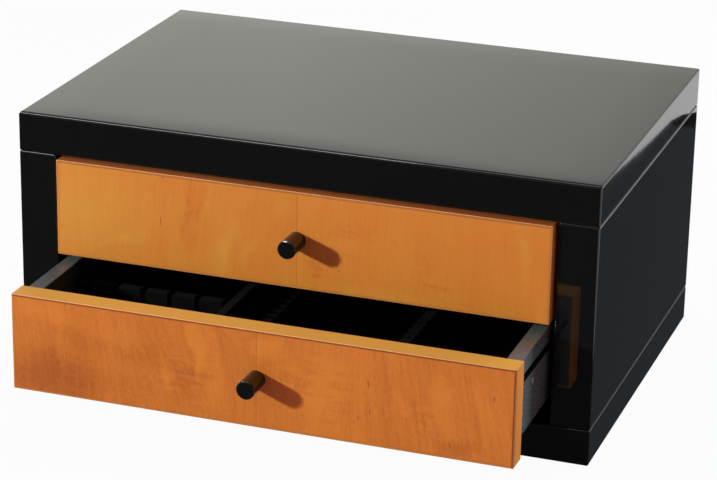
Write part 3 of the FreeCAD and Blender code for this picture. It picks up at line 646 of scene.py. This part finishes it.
def felt_sheet(name, node, body, material, step, wave):
    """A thin felt sheet laid in a CAD sheet's box. Its top is slightly uneven and its rim rounded."""
    low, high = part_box(node)
    wide, deep = high.x - low.x, high.y - low.y
    thick = high.z - low.z
    columns, rows = max(2, round(wide / step)), max(2, round(deep / step))
    mesh = bmesh.new()

    def edge_inset(x, y):
        return min(x - low.x, high.x - x, y - low.y, high.y - y)

    def height(x, y, top):
        fall = max(0.0, 1 - edge_inset(x, y) / (0.8 * thick)) ** 2
        rough = 0.5 + 0.5 * noise.noise(Vector((x, y, 0)) * wave)
        if top:
            return high.z - thick * (0.10 * rough + 0.35 * fall)
        return low.z + thick * 0.10 * fall

    def line(count, start, length):
        rim = [0.0, 0.3 * thick, 0.8 * thick]
        inner = [rim[-1] + (length - 2 * rim[-1]) * i / count for i in range(1, count)]
        return [start + d for d in rim + inner + [length - r for r in reversed(rim)]]

    xs, ys = line(columns, low.x, wide), line(rows, low.y, deep)
    grids = [[[mesh.verts.new((x, y, height(x, y, top))) for y in ys] for x in xs]
             for top in (False, True)]
    under, over = grids
    for i in range(len(xs) - 1):
        for j in range(len(ys) - 1):
            mesh.faces.new((over[i][j], over[i + 1][j], over[i + 1][j + 1], over[i][j + 1]))
            mesh.faces.new((under[i][j], under[i][j + 1], under[i + 1][j + 1], under[i + 1][j]))
    last_x, last_y = len(xs) - 1, len(ys) - 1
    rim = [(i, 0) for i in range(last_x)] + [(last_x, j) for j in range(last_y)]
    rim += [(i, last_y) for i in range(last_x, 0, -1)] + [(0, j) for j in range(last_y, 0, -1)]
    for (i, j), (k, m) in zip(rim, rim[1:] + rim[:1]):
        mesh.faces.new((under[i][j], under[k][m], over[k][m], over[i][j]))
    data = bpy.data.meshes.new(name)
    mesh.to_mesh(data)
    mesh.free()
    data.polygons.foreach_set("use_smooth", [True] * len(data.polygons))
    data.materials.append(material)
    piece = bpy.data.objects.new(name, data)
    bpy.context.scene.collection.objects.link(piece)
    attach(piece, body)
    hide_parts(node)
    return piece, (wide, deep)


def lay_felt():
    for drawer in DRAWERS:
        material = felt("felt_" + drawer, (0.022, 0.022, 0.023), 4.0 + DRAWERS.index(drawer))
        piece, flat = felt_sheet(drawer + "_lining", drawer + "_felt_lining", drawer + "_drawer",
                                 material, 0.006, 45)
    piece, flat = felt_sheet("foot_felt", "base_felt", "case", felt("felt_foot", (0.014, 0.014, 0.0145), 9.0),
                             0.010, 30)


# Studio


def white_to_camera(g, plain, share):
    """Mixes white light into a shader for camera, glossy and transmission rays."""
    path = g.node("ShaderNodeLightPath").outputs
    seen = g.math("MAXIMUM", path["Is Camera Ray"], path["Is Glossy Ray"])
    seen = g.math("MAXIMUM", seen, path["Is Transmission Ray"])
    white = g.node_out("ShaderNodeEmission", {"Color": (1, 1, 1), "Strength": 1.0})[0]
    return g.node_out("ShaderNodeMixShader", {0: g.math("MULTIPLY", seen, share), 1: plain, 2: white})[0]


def make_floor():
    size = 6.0
    data = bpy.data.meshes.new("studio_floor")
    corners = [(-size, -size, 0), (size, -size, 0), (size, size, 0), (-size, size, 0)]
    data.from_pydata(corners, [], [(0, 1, 2, 3)])
    floor = bpy.data.objects.new("studio_floor", data)
    bpy.context.scene.collection.objects.link(floor)
    g = new_graph("studio_paper")
    paper = g.mixed(g.noise(g.stretched((3, 3, 3))), (0.55, 0.40, 0.43), (0.57, 0.42, 0.45))
    plain = g.node_out("ShaderNodeBsdfDiffuse", {"Color": paper})[0]
    g.end(white_to_camera(g, plain, FLOOR_WHITE))
    data.materials.append(g.owner)


def make_flag():
    """A dark card on the table, seen only in the gloss. Its rounded back corner shows in the right side."""
    outline = [(-1.7, -1.7), (0.55, -1.7), (0.373, 0.44), (0.361, 0.59), (0.359, 0.626), (0.357, 0.672),
               (0.351, 0.695), (0.340, 0.708), (0.320, 0.714), (-1.7, 0.714)]
    data = bpy.data.meshes.new("studio_flag")
    data.from_pydata([(x, y, 0.0002) for x, y in outline], [], [tuple(range(len(outline)))])
    flag = bpy.data.objects.new("studio_flag", data)
    bpy.context.scene.collection.objects.link(flag)
    g = new_graph("flag_card")
    y = g.split(g.place)[1]
    rim = g.span(y, 0.652, 0.662)
    colour = g.mixed(rim, FLAG_COLOUR, (0.01, 0.01, 0.01))
    card = g.node_out("ShaderNodeEmission", {"Color": colour, "Strength": 1.0})[0]
    g.end(card)
    data.materials.append(g.owner)
    flag.visible_camera = False
    flag.visible_diffuse = False
    flag.visible_shadow = False
    flag.visible_transmission = False
    flag.visible_volume_scatter = False


def make_world():
    """White to the camera. In the gloss it is a low white backdrop behind, that dims to the right,
    under a dark wall and a pale ceiling."""
    world = bpy.data.worlds.new("studio")
    bpy.context.scene.world = world
    g = Graph(world, "ShaderNodeOutputWorld")
    path = g.node("ShaderNodeLightPath").outputs
    toward = g.split(g.coordinates["Generated"])
    level = g.math("MINIMUM", g.span(toward[0], -0.34, -0.19, 1.12, 0.75),
                   g.span(toward[2], 0.325, 0.447, 1.12, DIM))
    level = g.math("MULTIPLY", level, g.span(toward[1], -0.2, 0.25, DIM, 1.0))
    level = g.math("ADD", level, g.math("MULTIPLY", g.span(toward[2], 0.60, 1.0, smooth=True),
                                        g.span(toward[0], -0.5, 0.5, CEILING, 0.4 * CEILING)))
    backdrop = g.scaled((1.0, 1.0, 0.915), level)
    seen = g.math("MAXIMUM", path["Is Glossy Ray"], path["Is Transmission Ray"])
    fill = g.node_out("ShaderNodeBackground", {"Color": WORLD_FILL})[0]
    gloss = g.node_out("ShaderNodeBackground", {"Color": backdrop})[0]
    white = g.node_out("ShaderNodeBackground", {"Color": (1, 1, 1)})[0]
    shown = g.node_out("ShaderNodeMixShader", {0: seen, 1: fill, 2: gloss})[0]
    shown = g.node_out("ShaderNodeMixShader", {0: path["Is Camera Ray"], 1: shown, 2: white})[0]
    g.end(shown)


def lamp(name, place, aim, size, power, colour, shape="DISK"):
    data = bpy.data.lights.new(name, "AREA")
    data.shape = shape
    data.size = size
    data.energy = power
    data.color = colour
    light = bpy.data.objects.new(name, data)
    bpy.context.scene.collection.objects.link(light)
    light.location = place
    light.rotation_mode = "QUATERNION"
    light.rotation_quaternion = (Vector(place) - Vector(aim)).to_track_quat("Z", "Y")
    light.visible_camera = False
    return light


NEUTRAL = (1.0, 1.0, 1.0)
KEY_DIRECTION = Vector((-0.75, -0.59, 0.29))
KEY_AIM = Vector((0, -0.18, 0.10))
KEY_REACH = 4.0
KEY_WIDTH = 0.28
KEY_POWER = 191.0
KEY_COLOUR = (0.945, 1.0, 0.92)
STRIP_PLACE = (-0.98, -0.72, 1.60)
STRIP_AIM = (-0.98, -0.05, 0.10)
STRIP_SIZE = (1.25, 0.25)
STRIP_POWER = 20.0
TOP_PLACE = (-0.45, 0.35, 1.60)
TOP_AIM = (0.0, -0.23, 0.10)
TOP_SIZE = 0.5
TOP_POWER = 14.0
TOP_COLOUR = (1.0, 0.66, 1.0)
SIDE_PLACE = (1.13, 1.05, 0.45)
SIDE_AIM = (0.19, -0.19, 0.08)
SIDE_SIZE = 0.50
SIDE_POWER = 36.0
SIDE_COLOUR = (0.82, 0.86, 1.0)
WORLD_FILL = (0.31, 0.160, 0.175)
DIM = 0.12
CEILING = 1.6
FLOOR_WHITE = 0.96
FLAG_COLOUR = (0.046, 0.056, 0.062)


def light_studio():
    key_place = KEY_AIM + KEY_DIRECTION.normalized() * KEY_REACH
    lamp("key", key_place, KEY_AIM, KEY_WIDTH, KEY_POWER, KEY_COLOUR)
    strip = lamp("strip", STRIP_PLACE, STRIP_AIM, STRIP_SIZE[0], STRIP_POWER, NEUTRAL, "RECTANGLE")
    strip.data.size_y = STRIP_SIZE[1]
    strip.visible_diffuse = False
    overhead = lamp("overhead", TOP_PLACE, TOP_AIM, TOP_SIZE, TOP_POWER, TOP_COLOUR)
    side = lamp("side", SIDE_PLACE, SIDE_AIM, SIDE_SIZE, SIDE_POWER, SIDE_COLOUR, "SQUARE")
    for soft in (overhead, side):
        soft.visible_glossy = False


CAMERA_PLACE = (0.64566, -1.89224, 0.83661)
CAMERA_AZIMUTH = 0.332317
CAMERA_ELEVATION = 0.357113
CAMERA_ROLL = 0.0183536
FOCAL_PIXELS = 2703.12
FRAME_PIXELS = 717
SENSOR = 36.0


def make_camera():
    data = bpy.data.cameras.new("camera")
    data.sensor_width = SENSOR
    data.sensor_fit = "HORIZONTAL"
    data.lens = FOCAL_PIXELS / FRAME_PIXELS * SENSOR
    data.clip_start, data.clip_end = 0.05, 50
    camera = bpy.data.objects.new("camera", data)
    bpy.context.scene.collection.objects.link(camera)
    a, e, r = CAMERA_AZIMUTH, CAMERA_ELEVATION, CAMERA_ROLL
    back = Vector((math.sin(a) * math.cos(e), -math.cos(a) * math.cos(e), math.sin(e)))
    right = Vector((math.cos(a), math.sin(a), 0))
    up = back.cross(right)
    level_right = math.cos(r) * right + math.sin(r) * up
    level_up = -math.sin(r) * right + math.cos(r) * up
    turn = Matrix((level_right, level_up, back)).transposed()
    camera.matrix_world = Matrix.Translation(CAMERA_PLACE) @ turn.to_4x4()
    bpy.context.scene.camera = camera


dress_case()
for drawer in DRAWERS:
    dress_drawer(drawer)
lay_felt()
make_floor()
make_flag()
make_world()
light_studio()
make_camera()
bpy.context.scene.view_settings.view_transform = "Standard"
